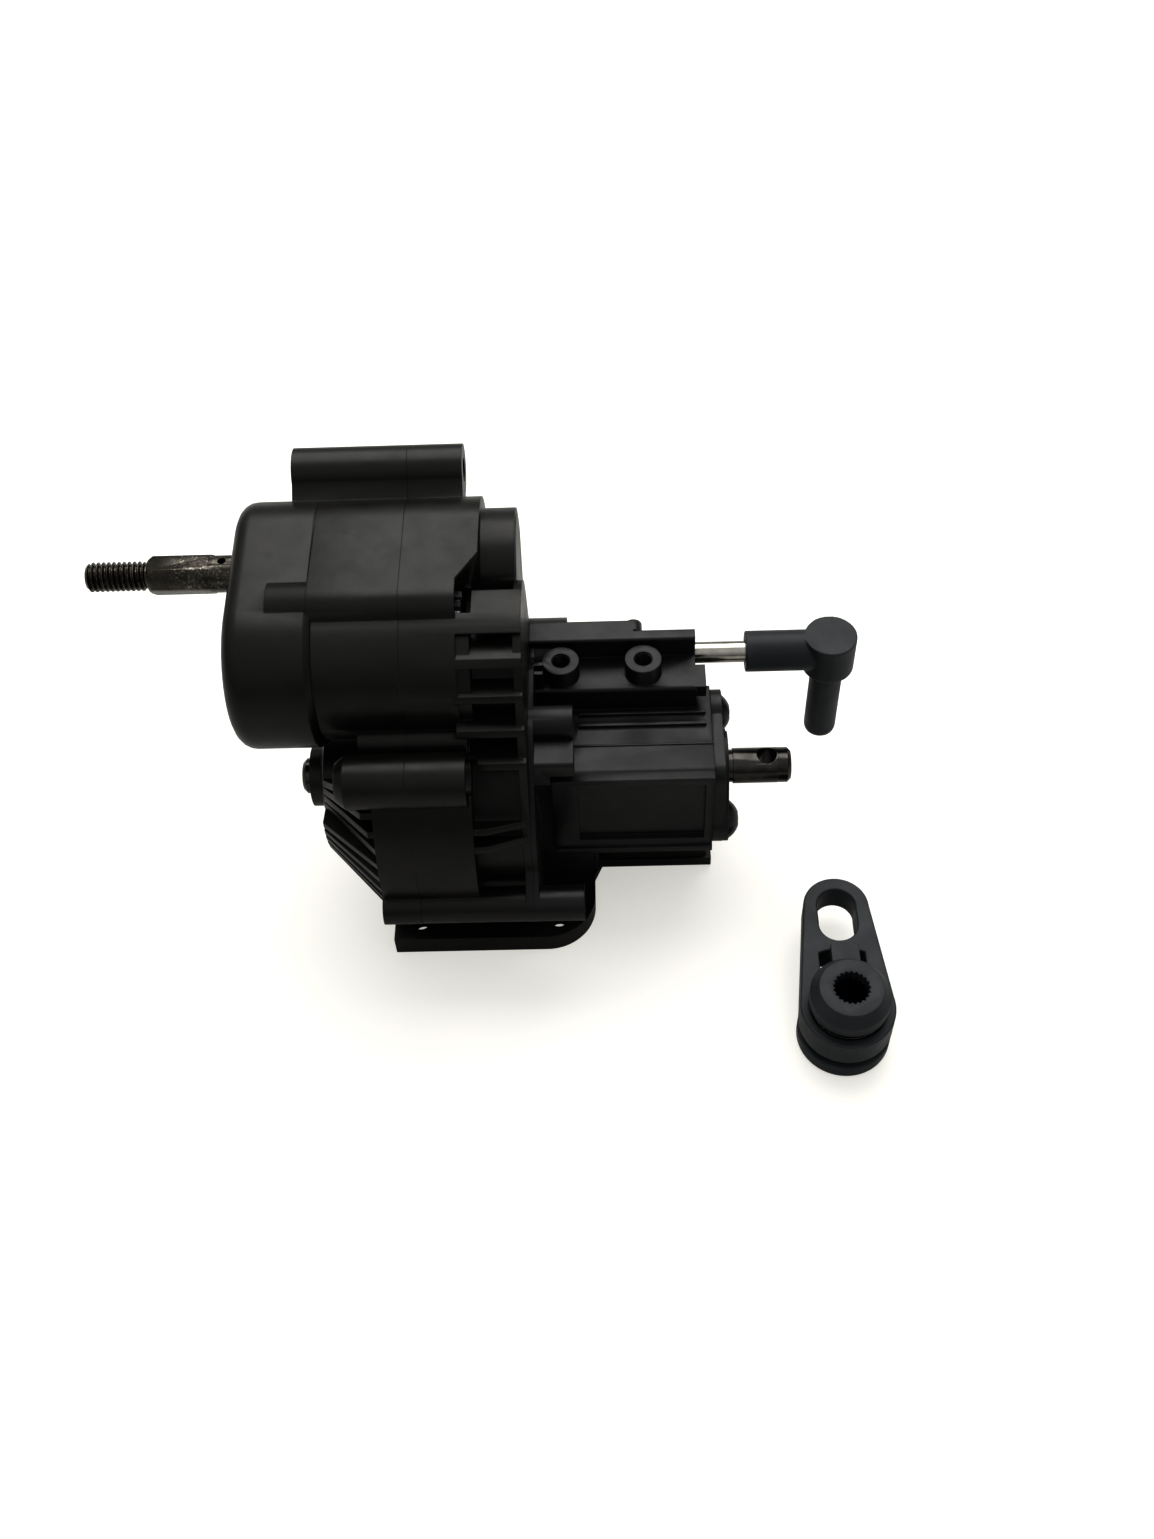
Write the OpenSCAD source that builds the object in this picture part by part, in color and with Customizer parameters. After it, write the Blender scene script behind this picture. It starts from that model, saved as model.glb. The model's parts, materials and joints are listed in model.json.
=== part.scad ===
// Two-speed gearbox of a 1:10 radio-controlled crawler, with its shift rod and loose servo horn.
// X runs along the shafts towards the output end, Y runs away from the front face and Z is up.
// The origin is on the underside of the mount plate, below the output shaft and in the plane
// where the left and middle cases part. Plane points are written [y, z].

/* [Shaft positions] */
// Height of the output shaft above the underside of the mount plate
output_height = 22; // [22:0.1:22.4]
// How far behind the output shaft the idler shaft lies
idler_offset = 1.8; // [1.6:0.1:2]
// Height of the input shaft above the idler shaft
input_rise = 3.1; // [2.9:0.05:3.3]
// How far behind the output shaft the shift rod lies
rod_offset = 12.3; // [12.2:0.05:12.4]
// Height of the shift rod above the output shaft
rod_rise = 10.2; // [10.1:0.05:10.3]

/* [Gears] */
// Module of every gear
gear_module = 0.8; // [0.79:0.005:0.8]
// Thinning of each tooth, measured along the pitch circle
backlash = 0.16; // [0.12:0.01:0.2]
// Teeth of the input pinion
input_teeth = 14; // [14:1:14]
// Teeth of the idler gear that the input pinion drives
idler_teeth = 20; // [20:1:20]
// Teeth of the low pinion on the idler shaft
low_pinion_teeth = 16; // [16:1:16]
// Teeth of the low gear on the output shaft
low_gear_teeth = 40; // [40:1:40]
// Teeth of the high pinion on the idler shaft
high_pinion_teeth = 21; // [21:1:21]
// Teeth of the high gear on the output shaft
high_gear_teeth = 35; // [35:1:35]

/* [Shafts and bearings] */
// Diameter of the input, idler and output shafts
shaft_d = 5; // [5:0.01:5.04]
// Diameter of the shift rod
rod_d = 3; // [2.9:0.05:3]
// Outer diameter of the ball bearings
bearing_d = 10; // [9.8:0.1:10]
// Width of the ball bearings
bearing_w = 4; // [3.9:0.05:4]
// Radial running clearance
running_gap = 0.03; // [0.02:0.01:0.06]
// Diameter of the input thread
thread_d = 4; // [4:0.05:4.2]
// Pitch of the input thread
thread_pitch = 0.7; // [0.7:0.1:0.8]

/* [Case] */
// Outer radius of the chamber round the output gears
chamber_r = 19.5; // [19.5:0.1:19.8]
// Wall of the output gear chamber
chamber_wall = 1.6; // [1.4:0.1:1.6]
// Outer radius of the case round the input shaft
input_case_r = 9.4; // [9.2:0.1:9.5]
// Outer radius of the case round the idler gear
idler_case_r = 11.4; // [11.2:0.1:11.5]
// Angle between two cooling ribs of the left case
rib_step = 8; // [8:4:16]
// Thickness of ribs and fins
rib_t = 0.9; // [0.7:0.1:1.1]

/* [Shift mechanism] */
// Travel of the shift rod between low and high
shift_travel = 2.6; // [2.4:0.1:2.6]
// Number of driving dogs on each face of the shift dog
dog_count = 8; // [8:8:8]

/* [Mounts] */
// Thread-cutting hole for an M3 screw
m3_tap_d = 2.5; // [2.4:0.1:2.6]
// Clearance hole for an M3 screw
m3_clear_d = 3.2; // [3.1:0.1:3.4]
// Distance between the two servo posts
post_spacing = 11.2; // [11:0.1:11.4]
// Spacing of the plate's mounting holes along X
plate_hole_dx = 20; // [19:0.5:20]
// Spacing of the plate's mounting holes along Y
plate_hole_dy = 26; // [26:0.5:26.5]

/* [Servo horn] */
// Height of the horn, standing on its base
horn_h = 13.4; // [13:0.1:13.6]
// Width of the horn's slot
horn_slot_w = 5.4; // [5.2:0.1:5.6]
// Number of spline teeth in the horn's bore
spline_teeth = 21; // [21:1:25]

/* [Hidden] */
$fn = 64;
eps = 0.01;

// --- where the shafts are ---
shaft_r = shaft_d / 2;
rod_r = rod_d / 2;
bearing_r = bearing_d / 2;
idler_reach = gear_module * (low_pinion_teeth + low_gear_teeth) / 2;
input_reach = gear_module * (input_teeth + idler_teeth) / 2;
idler_rise = sqrt(idler_reach * idler_reach - idler_offset * idler_offset);
input_shift = sqrt(input_reach * input_reach - input_rise * input_rise);
OUT = [0, output_height];
IDLER = OUT + [idler_offset, idler_rise];
INPUT = IDLER + [input_shift, input_rise];
ROD = OUT + [rod_offset, rod_rise];

// --- gear proportions ---
pressure_angle = 20;
addendum = 0.8 * gear_module;
dedendum = 1.1 * gear_module;

// --- places along X ---
x_thread_tip = -43.8;
x_thread_end = -35.4;
x_hex_end = -26;
x_case_left = -22.4;
x_bulge_end = -11;
x_top_bearing = x_case_left + 0.8;
x_gear_bay = x_top_bearing + bearing_w;
x_first_gear = x_gear_bay + 0.4;
first_gear_w = 4.2;
x_input_clip = x_first_gear + first_gear_w + 0.2;
x_chamber = -5;
x_low_gear = -3.8;
low_gear_w = 3.4;
x_low_face = x_low_gear + low_gear_w;
x_core = x_low_face + 0.15;
core_w = 2.6;
x_high_gear = x_core + core_w + shift_travel + 0.15;
high_gear_w = 2.4;
x_high_end = x_high_gear + high_gear_w;
x_room_end = x_high_end + 0.5;
x_front_end = 7.1;
x_belly_end = 8;
x_body_end = 9.8;
x_disc_end = 14.3;
x_small_bearing = x_disc_end - 0.8 - bearing_w;
x_flange = 14.2;
x_housing = 15.3;
x_housing_flange_end = 16;
x_boss_end = 21.2;
x_low_boss_end = 22.1;
x_wall_end = 38;
x_cap = 40;
x_cap_end = 42.3;
x_out_left = -17.2;
x_out_right = 51.2;
x_middle_bearing = 15.5;
x_right_bearing = x_cap - bearing_w;
x_left_bearing = -12;
x_hub_end = x_left_bearing - 1.4;

// --- case bosses, with their radii ---
TOP_BOSS = INPUT + [10.6, 7.8];
MIDDLE_BOSS = [2.53, INPUT[1] + input_case_r - 3.52];
FRONT_BOSS = OUT + [-13.5, 15.9];
VALLEY_BOSS = OUT + [-8.3, 17.7];
LOW_BOSS = OUT + [-18.9, -5.2];
BACK_BOSS = OUT + [17.6, -9.8];
HOUSING_BOSSES = [OUT + [-3, 14], OUT + [13.6, -3.2]];
boss_r = 3.5;
low_boss_r = 2.45;
idler_body_r = 10.4;
flange_idler_r = 9.8;
flange_out_r = 16.8;
gear_room_input = 7.2;
gear_room_idler = 9.3;
fork_room = 4.2;

// --- screws: [shank radius, head radius, head height, socket radius] ---
screw_r = 1.5;
core_r = m3_tap_d / 2;
M3_CAP = [screw_r, 2.75, 3, 1.44];
M3_BUTTON = [screw_r, 2.8, 1.65, 1.155];
M2_CAP = [1, 1.9, 2, 0.87];
screw_recess = M2_CAP[2] + 0.3;

// ---------------------------------------------------------------- helpers
function unit(a) = [cos(a), sin(a)];
function heading(v) = atan2(v[1], v[0]);

// A plane shape in [y, z], made solid from x0 to x1
module on_x(x0, x1) {
  translate([x0, 0, 0]) rotate([90, 0, 90]) linear_extrude(x1 - x0) children();
}

// A round bar along X through the plane point p
module bar_x(p, r, x0, x1) {
  translate([x0, p[0], p[1]]) rotate([0, 90, 0]) cylinder(r = r, h = x1 - x0);
}

// A tube along X
module tube_x(p, r_out, r_in, x0, x1) {
  difference() {
    bar_x(p, r_out, x0, x1);
    bar_x(p, r_in, x0 - 1, x1 + 1);
  }
}

// A cone along X
module cone_x(p, r0, r1, x0, x1) {
  translate([x0, p[0], p[1]]) rotate([0, 90, 0]) cylinder(r1 = r0, r2 = r1, h = x1 - x0);
}

// Two circles and the straight band between them, a hair inside their common tangents
module belt(p, rp, q, rq) {
  inset = 0.02;
  axis = heading(q - p);
  spread = acos((rp - rq) / norm(q - p));
  translate(p) circle(r = rp);
  translate(q) circle(r = rq);
  polygon([
    p + (rp - inset) * unit(axis + spread), q + (rq - inset) * unit(axis + spread),
    q + (rq - inset) * unit(axis - spread), p + (rp - inset) * unit(axis - spread)
  ]);
}

// A rectangle between two corners, with round corners
module round_box(a, b, r) {
  translate(a + [r, 0]) square(b - a - [2 * r, 0]);
  translate(a + [0, r]) square(b - a - [0, 2 * r]);
  for (y = [a[0] + r, b[0] - r], z = [a[1] + r, b[1] - r]) translate([y, z]) circle(r = r);
}

// Involute spur gear outline with a tooth centred on angle 0
function involute(a) = tan(a) * 180 / PI - a;
function gear_points(teeth) =
  let (
    rp = gear_module * teeth / 2,
    rb = rp * cos(pressure_angle),
    ra = rp + addendum,
    rf = rp - dedendum,
    r0 = max(rb, rf + 0.15),
    half = 90 / teeth - backlash / 4 / rp * 180 / PI + involute(pressure_angle),
    steps = 3
  )
  [for (t = [0 : teeth - 1], side = [-1, 1], k = side < 0 ? [0 : steps + 1] : [steps + 1 : -1 : 0])
    let (
      r = k == 0 ? rf : r0 + (ra - r0) * (k - 1) / steps,
      lean = r > rb ? involute(acos(rb / r)) : 0
    )
    r * unit(t * 360 / teeth + side * (half - lean))];

// A gear at plane point p, turned so that a tooth (or a gap) points along angle a
module gear_x(p, teeth, a, gap, x0, x1, bore) {
  on_x(x0, x1) difference() {
    translate(p) rotate(a + (gap ? 180 / teeth : 0)) polygon(gear_points(teeth));
    translate(p) circle(r = bore);
  }
}

// Eight blocks (or sockets) in a ring round the output shaft
module dog_teeth(r_in, r_out, half_angle, x0, x1) {
  for (k = [0 : dog_count - 1])
    let (a = k * 360 / dog_count)
      on_x(x0, x1) translate(OUT) polygon([
        r_in * unit(a - half_angle), r_out * unit(a - half_angle),
        r_out * unit(a + half_angle), r_in * unit(a + half_angle)
      ]);
}

// A shielded ball bearing: outer ring with its two shields, and the inner ring
module bearing(p, x0) {
  ring = 1.1;
  shield = 0.3;
  recess = 0.15;
  bore = shaft_r + running_gap;
  inner_r = bore + 0.9;
  tube_x(p, bearing_r, bearing_r - ring, x0, x0 + bearing_w);
  tube_x(p, inner_r, bore, x0, x0 + bearing_w);
  for (x = [x0 + recess, x0 + bearing_w - recess - shield])
    tube_x(p, bearing_r - ring + eps, inner_r + 0.08, x, x + shield);
}

// Socket-cap screw along X: head at the right, shank running left
module cap_screw_x(p, x_head, x_tip, size) {
  difference() {
    union() {
      bar_x(p, size[1], x_head, x_head + size[2]);
      bar_x(p, size[0], x_tip, x_head + eps);
    }
    hex_socket(p, size[3], x_head + size[2], 0.55 * size[2]);
  }
}

// Button-head screw along X: the head is a dome
module button_screw_x(p, x_head, x_tip, size) {
  head_r = size[1];
  head_h = size[2];
  dome_r = (head_r * head_r + head_h * head_h) / (2 * head_h);
  edge = asin(head_r / dome_r);
  steps = 6;
  difference() {
    translate([x_head, p[0], p[1]]) rotate([0, 90, 0]) rotate_extrude() polygon(concat(
      [[0, x_tip - x_head], [size[0], x_tip - x_head], [size[0], 0]],
      [for (k = [0 : steps]) let (a = edge * (1 - k / steps))
        [dome_r * sin(a), head_h - dome_r + dome_r * cos(a)]]
    ));
    hex_socket(p, size[3], x_head + head_h, 1);
  }
}

module hex_socket(p, r, x_face, depth) {
  translate([x_face - depth, p[0], p[1]])
    rotate([0, 90, 0]) cylinder(r = r, h = depth + 1, $fn = 6);
}

// ---------------------------------------------------------------- cases
// Outline of the upper case round the input and idler shafts
module upper_outline() {
  belt(IDLER, idler_body_r, INPUT, input_case_r);
  belt(MIDDLE_BOSS, boss_r, INPUT, input_case_r);
}

// Outline of the back of the chamber, up to the input shaft
module chamber_outline() {
  belt(OUT, chamber_r, INPUT, input_case_r);
}

// Inside of the upper case: room for the first pair of gears
module gear_room() {
  belt(IDLER, gear_room_idler, INPUT, gear_room_input);
}

module top_boss_outline() {
  translate(TOP_BOSS) circle(r = boss_r);
  dir = heading(INPUT - TOP_BOSS);
  translate(TOP_BOSS) rotate(dir) translate([0, -2.9]) square([12, 5]);
}

// The rounded left end of the case, round the first pair of gears
module bulge() {
  fillet = 2.4;
  steps = 5;
  hull() {
    for (k = [0 : steps])
      let (
        a = 90 * k / steps,
        x = x_case_left + fillet * (1 - sin(a)),
        inset = fillet * (1 - cos(a))
      ) {
        bar_x(INPUT, input_case_r - inset, x, x + eps, $fn = 48);
        bar_x(IDLER, idler_case_r - inset, x, x + eps, $fn = 48);
      }
    bar_x(INPUT, input_case_r, x_bulge_end - 0.8, x_bulge_end - 0.79, $fn = 48);
    bar_x(IDLER, idler_case_r, x_bulge_end - 0.8, x_bulge_end - 0.79, $fn = 48);
    bar_x(INPUT, input_case_r - 0.6, x_bulge_end, x_bulge_end + eps, $fn = 48);
    bar_x(IDLER, idler_case_r - 0.6, x_bulge_end, x_bulge_end + eps, $fn = 48);
  }
}

// One radial rib between the left bearing boss and the chamber wall. On the lower ribs the
// flat outer edge is shorter and the slope stands further out.
module left_rib(a) {
  x_kink = min(x_chamber + 0.2, x_chamber - 0.8 + 0.1 * (a - 152));
  slope_end = a > 164 ? 10.4 : 7.6;
  rib_root = 6.55;
  translate([0, OUT[0], OUT[1]]) rotate([a - 90, 0, 0])
    translate([0, rib_t / 2, 0]) rotate([90, 0, 0]) linear_extrude(rib_t)
      polygon([
        [x_chamber + 0.5, rib_root], [x_chamber + 0.5, chamber_r - 0.2], [x_kink, chamber_r - 0.2],
        [x_hub_end + 0.1, slope_end], [x_hub_end + 0.1, rib_root]
      ]);
}

module left_case() {
  color([0.13, 0.12, 0.11]) difference() {
    union() {
      bulge();
      on_x(x_bulge_end - 0.5, 0) upper_outline();
      on_x(x_chamber, 0) chamber_outline();
      bar_x(OUT, 6.8, x_hub_end, x_chamber + 1);
      cone_x(OUT, 5, 6.8, -14.1, x_hub_end);
      bar_x(OUT, 4.3, -15.8, -14);
      for (a = [136 : rib_step : 392]) left_rib(a);
      on_x(-15.4, 0) top_boss_outline();
      bar_x(MIDDLE_BOSS, boss_r - 0.05, -16.7, -5);
      bar_x(FRONT_BOSS, 3.6, -7.9, 0);
      cone_x(FRONT_BOSS, 2.6, 3.6, -9.2, -7.9);
      bar_x(VALLEY_BOSS, 2.1, -6.3, 0);
      for (p = [LOW_BOSS, BACK_BOSS]) bar_x(p, low_boss_r, -5.2, 0);
    }
    on_x(x_gear_bay, 1) gear_room();
    bar_x(OUT, chamber_r - chamber_wall, x_low_gear - 0.2, 1);
    bar_x(OUT, bearing_r, x_left_bearing, 1);
    bar_x(OUT, shaft_r + 0.1, -20, 1);
    bar_x(INPUT, bearing_r, x_top_bearing, 1);
    bar_x(INPUT, shaft_r + 0.35, x_case_left - 1, 1);
    bar_x(IDLER, bearing_r, x_top_bearing, 1);
    bar_x(TOP_BOSS, screw_r + 0.1, -30, 1);
    for (p = [MIDDLE_BOSS, FRONT_BOSS]) bar_x(p, screw_r, -5.5, 1);
    for (p = [LOW_BOSS, BACK_BOSS]) bar_x(p, M2_CAP[0], -3.5, 1);
  }
}

// A level fin between the body and the flange, at height z
module level_fin(z) {
  intersection() {
    translate([x_front_end - 0.5, -30, z - rib_t / 2]) cube([x_housing - x_front_end + 0.5, 34, rib_t]);
    on_x(x_front_end - 0.5, x_housing) belt(IDLER, idler_body_r, OUT, 17.9);
  }
}

// A radial rib that drops from the belly to the smaller flange
module front_rib(a) {
  translate([0, OUT[0], OUT[1]]) rotate([a - 90, 0, 0])
    translate([0, rib_t / 2, 0]) rotate([90, 0, 0]) linear_extrude(rib_t)
      polygon([
        [x_belly_end - 0.4, 15.6], [x_belly_end - 0.4, chamber_r - 0.2],
        [x_belly_end + 1.6, chamber_r - 0.2],
        [x_housing - 0.4, flange_out_r + 0.2], [x_housing - 0.4, 15.6]
      ]);
}

// Flange outline where the middle case meets the shift housing, below the idler shaft
module housing_flange() {
  translate(OUT) circle(r = flange_out_r);
  belt(ROD, 5.4, OUT, 12);
  for (p = [LOW_BOSS, BACK_BOSS]) belt(OUT, 10, p, low_boss_r);
}

module middle_case() {
  seat = x_disc_end - 0.6;
  color([0.12, 0.12, 0.12]) difference() {
    union() {
      // upper body, cut back at the front where the fins begin
      difference() {
        on_x(0, x_body_end) upper_outline();
        translate([0, 0, output_height + 8]) linear_extrude(40) polygon([
          [x_front_end, -30], [x_front_end, 4], [x_body_end, 8.5],
          [x_body_end + 1, 8.5], [x_body_end + 1, -30]
        ]);
      }
      on_x(0, x_belly_end) chamber_outline();
      bar_x(INPUT, 7.8, x_body_end - 1, x_disc_end);
      bar_x(IDLER, 9.9, x_front_end - 1, x_room_end + 0.8);
      bar_x(IDLER, 7.6, x_front_end, x_flange + 0.2);
      bar_x(OUT, flange_out_r - 0.2, x_belly_end - 1, x_flange + 0.2);
      on_x(x_belly_end - 1, x_flange + 0.2) {
        belt(OUT, 12, IDLER, 6.4);
        belt(ROD, 5.4, INPUT, 7);
      }
      on_x(x_flange, x_housing) {
        belt(OUT, flange_out_r, IDLER, flange_idler_r);
        housing_flange();
      }
      for (z = [16.6, 20.9, 25.3, 29.4, 32.1]) level_fin(z + output_height);
      for (a = [152, 160]) front_rib(a);
      for (a = [304 : 2 * rib_step : 368]) front_rib(a);
      on_x(0, 7.3) top_boss_outline();
      bar_x(MIDDLE_BOSS, boss_r, 0, 7.1);
      bar_x(FRONT_BOSS, 3.6, 0, 7.7);
      bar_x(VALLEY_BOSS, 2.1, 0, 7.8);
      for (p = [LOW_BOSS, BACK_BOSS]) bar_x(p, low_boss_r - 0.03, 0, x_flange + 0.3);
      // feet that stand on the mount plate
      for (y = PLATE_SCREW_Y) translate([PLATE_SCREW_X[0], y, plate_t]) cylinder(r = 2.8, h = 6);
    }
    on_x(-1, x_room_end) gear_room();
    bar_x(OUT, chamber_r - chamber_wall, -1, x_belly_end - 0.9);
    bar_x(OUT, 15.5, -1, x_room_end);
    bar_x(ROD, fork_room, x_belly_end - 0.9, x_housing + 1);
    bar_x(OUT, bearing_r - 0.8, 0, x_housing + 1);
    for (p = [INPUT, IDLER]) bar_x(p, bearing_r, 0, seat - 0.2);
    bar_x(INPUT, 3.6, 0, seat + 0.1);
    bar_x(TOP_BOSS, screw_r + 0.1, -1, 9);
    for (p = [MIDDLE_BOSS, FRONT_BOSS]) {
      bar_x(p, screw_r, -1, 9);
      bar_x(p, M3_CAP[1], x_case_head, 9);
    }
    for (p = [LOW_BOSS, BACK_BOSS]) bar_x(p, M2_CAP[0], -1, x_housing + 1);
    for (p = HOUSING_BOSSES) bar_x(p, M2_CAP[0], x_housing - 5, x_housing + 1);
    for (y = PLATE_SCREW_Y)
      translate([PLATE_SCREW_X[0], y, 0]) cylinder(r = screw_r, h = plate_screw_top);
  }
}

x_case_head = 1.8;
PLATE_SCREW_X = [11.2, 33];
PLATE_SCREW_Y = [-5, 5];
plate_screw_top = 8.6;
CAP_SCREWS = [OUT + [-5.3, -5.3], OUT + [5.3, 5.3]];
CAP_SCREW_SEATS = [x_cap_end, x_cap + 1.3];
POST_X = [19.6, 19.6 + post_spacing];
post_y = 6.6;
post_top = output_height + 15.65;
platform_z = output_height + 12.8;
box_half = 8;
box_top = output_height + 8.8;
ball_x = 27;
rod_gap = 0.04;
rod_bore_r = rod_r + rod_gap;

// The square tube of the shift housing, in section
module box_outline() {
  round_box(OUT - [box_half, box_half], [OUT[0] + box_half, box_top], 1.2);
}

// Hole and counterbore for a small screw whose boss ends at x
module recess_x(p, x) {
  bar_x(p, M2_CAP[0] + 0.1, x_housing - 1, x + 1);
  bar_x(p, M2_CAP[1] + 0.05, x - screw_recess, x + 1);
}

module shift_housing() {
  wall_top = output_height + 16.2;
  wall_z0 = output_height + 6;
  wall_y0 = 9.6;
  wall_y1 = 11.5;
  wall_y2 = 13.4;
  wall_thick_end = 30.8;
  corner = 1.2;
  ball_z = ROD[1] - rod_r;
  color([0.11, 0.125, 0.13]) difference() {
    union() {
      // flange, no higher than the wall
      intersection() {
        on_x(x_housing, x_housing_flange_end) housing_flange();
        translate([x_housing, -30, 0]) cube([2, 60, wall_top]);
      }
      on_x(x_housing, x_cap) box_outline();
      // frame of the front pocket and the ledge under it
      translate([18, -box_half - 0.7, output_height - 7]) cube([x_cap - 18, 1.5, 15.6]);
      translate([18, -box_half - 1.1, output_height - 7.6]) cube([x_cap - 18, 2, 1.1]);
      // long beads along the top
      for (y = [0.2, 2.2]) translate([21.8, y, box_top - 1]) cube([x_cap - 22.6, 0.65, 1.5]);
      translate([x_boss_end, -3, box_top - 1]) cube([x_cap - x_boss_end, 0.3, 1.15]);
      // platform for the shift servo
      on_x(x_housing, x_wall_end) round_box([3.6, output_height + 4], [13, platform_z], 0.5);
      for (x = POST_X)
        translate([x, post_y, output_height + 8]) cylinder(r = 2.5, h = post_top - output_height - 8);
      translate([x_wall_end - 0.5, 3.8, platform_z - 2]) cube([1.8, 4, 2]);
      // wall behind the platform, thicker at its left, and the guide of the shift rod
      on_x(x_housing, x_wall_end) round_box([wall_y0, wall_z0], [wall_y1, wall_top], 0.4);
      on_x(x_housing, wall_thick_end - corner) round_box([wall_y0, wall_z0], [wall_y2, wall_top], 0.4);
      translate([wall_thick_end - corner, wall_y1, wall_z0])
        cube([corner, wall_y2 - wall_y1, wall_top - wall_z0 - corner]);
      translate([wall_thick_end - corner, wall_y1, wall_top - corner])
        rotate([-90, 0, 0]) cylinder(r = corner, h = wall_y2 - wall_y1);
      on_x(x_housing, x_wall_end) belt(ROD, 3.3, OUT + [8, 2], 3.3);
      bar_x(ROD, 5.4, x_housing, 20.4);
      translate([ball_x, ROD[0], detent_bottom]) cylinder(r = 3, h = ball_z - detent_bottom);
      // screw bosses on the flange
      for (p = HOUSING_BOSSES) bar_x(p, low_boss_r, x_housing, x_boss_end);
      for (p = [LOW_BOSS, BACK_BOSS]) bar_x(p, low_boss_r, x_housing, x_low_boss_end);
      difference() {
        on_x(x_housing, x_boss_end) round_box(OUT + [-9.8, 9], OUT + [-5.2, 13.6], 0.6);
        translate([18, -10.5, output_height + 8.6]) cube([4, 3, 2.6]);
      }
      for (y = [4.4, 6]) translate([x_housing_flange_end - 0.2, y - 0.3, platform_z - 1]) cube([1.4, 0.6, 4]);
      // foot on the mount plate
      difference() {
        translate([24.2, -1.2, plate_t]) cube([15.8, 11.4, output_height - box_half - plate_t + 0.5]);
        translate([26, -2.4, plate_t + 4.6]) cube([12.2, 10.4, 4.9]);
      }
    }
    bar_x(OUT, bearing_r, x_housing - 1, x_middle_bearing + bearing_w);
    bar_x(OUT, bearing_r - 0.8, x_housing - 1, x_cap + 1);
    bar_x(OUT, 5.6, x_middle_bearing + bearing_w + 1, x_right_bearing - 1);
    bar_x(OUT, bearing_r, x_right_bearing, x_cap + 1);
    bar_x(ROD, fork_room, x_housing - 1, 19);
    bar_x(ROD, rod_bore_r, x_housing - 1, x_wall_end + 1);
    bar_x(ROD, 2.4, x_wall_end - 3.2, x_wall_end - 1.4);
    translate([21.5, -box_half - 2, output_height - 5]) cube([17.3, 2.2, 12.2]);
    for (x = POST_X) translate([x, post_y, post_top - 7.6]) cylinder(r = core_r, h = 9);
    for (p = CAP_SCREWS) bar_x(p, screw_r, x_cap - 8, x_cap + 1);
    for (p = HOUSING_BOSSES) recess_x(p, x_boss_end);
    for (p = [LOW_BOSS, BACK_BOSS]) recess_x(p, x_low_boss_end);
    translate([ball_x, ROD[0], detent_bottom - 1]) {
      cylinder(r = 1.05, h = ROD[1] - detent_bottom + 1);
      cylinder(r = screw_r, h = detent_screw_top - detent_bottom + 1);
    }
    for (y = TAIL_SCREW_Y)
      translate([PLATE_SCREW_X[1], y, 0]) cylinder(r = screw_r, h = plate_t + 4.2);
  }
}

detent_bottom = output_height - 1;
detent_screw_top = detent_bottom + 3;
TAIL_SCREW_Y = [2, 8];

// End cap: a plate with a raised middle that carries the lower screw
module end_cap() {
  plate_end = x_cap + 1.6;
  half = box_half - 0.4;
  color([0.12, 0.12, 0.13]) difference() {
    union() {
      on_x(x_cap, plate_end) round_box(OUT - [half, half + 1.4], OUT + [half, half + 0.2], 2.2);
      bar_x(CAP_SCREWS[1], 3.3, x_cap, plate_end);
      on_x(x_cap, x_cap_end) belt(OUT, 5.4, CAP_SCREWS[0], 3.1);
    }
    bar_x(OUT, shaft_r + 0.25, x_cap - 1, x_cap_end + 1);
    bar_x(OUT, 3.4, x_cap - 1, x_cap + 0.5);
    for (p = CAP_SCREWS) bar_x(p, m3_clear_d / 2, x_cap - 1, x_cap_end + 1);
    bar_x(CAP_SCREWS[1], M3_BUTTON[1] + 0.1, CAP_SCREW_SEATS[1], x_cap_end + 1);
  }
}

plate_t = 3.4;
plate_step_t = 1.7;
plate_front = -16;
plate_back = 16;
plate_left = -5.8;
plate_right = 23.3;
plate_tail = 40.7;
corner_r = 7;

// Outline of the mount plate, seen from above
module plate_outline() {
  translate([plate_left, plate_front]) square([plate_right - corner_r - plate_left, 8]);
  translate([plate_left, plate_front + corner_r])
    square([plate_right - plate_left, plate_back - plate_front - corner_r]);
  translate([plate_right - corner_r, plate_front + corner_r]) circle(r = corner_r);
}

module tail_outline() {
  polygon([[20, -8], [21.7, -8], [24.4, -1.8], [plate_tail, -1.8], [plate_tail, 12], [20, 12]]);
}

PLATE_HOLES = [for (x = [-2, plate_hole_dx - 2], y = [-plate_hole_dy / 2, plate_hole_dy / 2]) [x, y]];

module mount_plate() {
  color([0.12, 0.12, 0.12]) difference() {
    union() {
      linear_extrude(plate_t) plate_outline();
      linear_extrude(plate_step_t) tail_outline();
      translate([24.2, -1.2, 0]) cube([15.8, 11.4, plate_t]);
    }
    bar_x(OUT, chamber_r, plate_left - 1, x_belly_end);
    translate([0, 0, -1]) for (h = PLATE_HOLES) translate(h) cylinder(r = core_r, h = 6);
    for (s = PLATE_SCREWS) translate([s[0], s[1], -1]) {
      cylinder(r = m3_clear_d / 2, h = 6);
      translate([0, 0, 1 - eps]) cylinder(r1 = 3, r2 = m3_clear_d / 2, h = 1.5);
    }
  }
}

// Screws that hold the plate, as [x, y, height of the tip]
PLATE_SCREWS = concat(
  [for (y = PLATE_SCREW_Y) [PLATE_SCREW_X[0], y, plate_screw_top]],
  [for (y = TAIL_SCREW_Y) [PLATE_SCREW_X[1], y, plate_t + 4.2]]
);

// ---------------------------------------------------------------- fasteners
module case_screws() {
  color([0.2, 0.2, 0.21]) for (p = [MIDDLE_BOSS, FRONT_BOSS]) cap_screw_x(p, x_case_head, -5.5, M3_CAP);
}

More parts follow.
